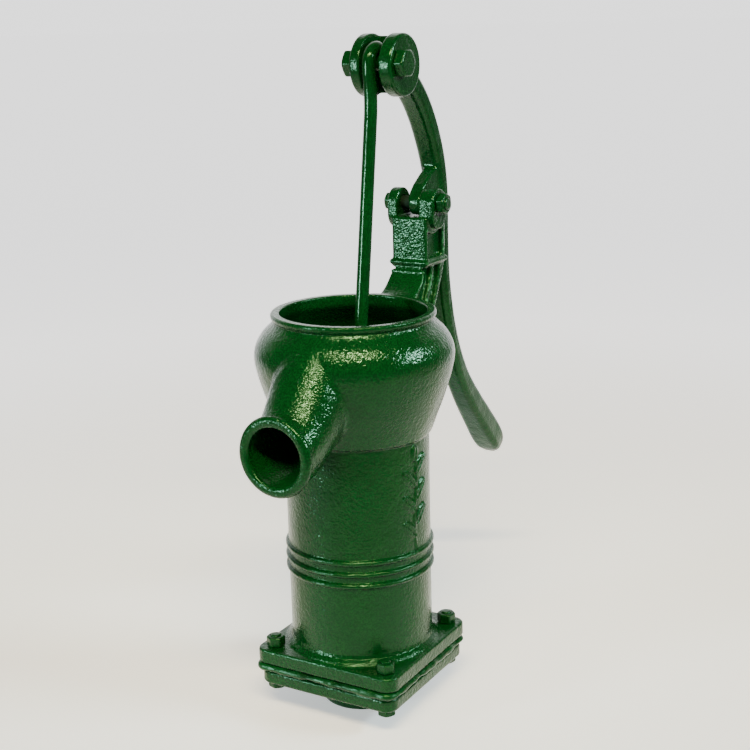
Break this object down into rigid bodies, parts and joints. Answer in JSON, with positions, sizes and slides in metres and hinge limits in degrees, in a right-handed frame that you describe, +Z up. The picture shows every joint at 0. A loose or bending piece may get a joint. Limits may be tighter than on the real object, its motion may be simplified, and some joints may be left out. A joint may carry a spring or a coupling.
{
  "type": "hand well pump",
  "caption": "Cast-iron pitcher hand pump: ribbed barrel on a bolted base, open bowl with spout, and a lever handle that drives a hooked rod and leather-cup plunger.",
  "frame": {"origin": "middle of the suction inlet's lower face, on the barrel's axis, where the pump screws onto its pipe", "axes": "+Z up along the barrel; the spout points along -Y and the handle is on the +Y side; the fulcrum bolt runs along X"},
  "size_m": [0.15, 0.3553, 0.5082],
  "materials": {
    "green_enamel": "glossy dark green enamel over rough sand-cast iron",
    "green_painted_leather": "leather joint ring with the pump's green enamel over its edge",
    "valve_leather": "oiled brown leather",
    "bare_cast_iron": "bare grey sand casting",
    "cast_brass": "turned cast brass, dull",
    "plain_steel": "plain machined steel"
  },
  "bodies": {
    "pump": {"pump_body": "green_enamel", "base_casting": "green_enamel", "valve_gasket": "green_painted_leather", "flange_bolt_1": "green_enamel", "flange_bolt_2": "green_enamel", "flange_bolt_3": "green_enamel", "flange_bolt_4": "green_enamel", "flange_nut_1": "green_enamel", "flange_nut_2": "green_enamel", "flange_nut_3": "green_enamel", "flange_nut_4": "green_enamel", "fulcrum_bolt": "green_enamel", "fulcrum_nut": "green_enamel"},
    "handle": {"handle": "green_enamel", "head_bolt": "green_enamel", "head_nut": "green_enamel"},
    "rod": {"pump_rod": "green_enamel"},
    "plunger": {"plunger_cage": "bare_cast_iron", "plunger_pin": "plain_steel", "cup_leather": "valve_leather", "plunger_follower": "cast_brass"},
    "plunger_valve": {"plunger_valve": "cast_brass"},
    "foot_valve": {"foot_valve_flap": "valve_leather", "foot_valve_weight": "bare_cast_iron", "foot_valve_screw": "plain_steel", "foot_valve_nut": "plain_steel"}
  },
  "joints": [
    {"name": "handle_pivot", "type": "hinge", "parent": "pump", "child": "handle", "pos_m": [0, 0.1003, 0.3774], "axis": [1, 0, 0], "range_deg": [0, 45]},
    {"name": "rod_pivot", "type": "hinge", "parent": "handle", "child": "rod", "pos_m": [0, 0.0458, 0.4867], "axis": [1, 0, 0], "range_deg": [-31, 0]},
    {"name": "plunger_slide", "type": "slide", "parent": "pump", "child": "plunger", "axis": [0, 0, 1], "range_m": [-0.0708, 0]},
    {"name": "plunger_valve_lift", "type": "slide", "parent": "plunger", "child": "plunger_valve", "axis": [0, 0, 1], "range_m": [0, 0.006]},
    {"name": "foot_valve_hinge", "type": "hinge", "parent": "pump", "child": "foot_valve", "pos_m": [0, 0.028, 0.0338], "axis": [-1, 0, 0], "range_deg": [0, 20]}
  ],
  "couplings": [
    {"joint": "rod_pivot", "follows": "handle_pivot", "ratio": -0.688},
    {"joint": "plunger_slide", "follows": "handle_pivot", "m_per_rad": -0.09}
  ]
}
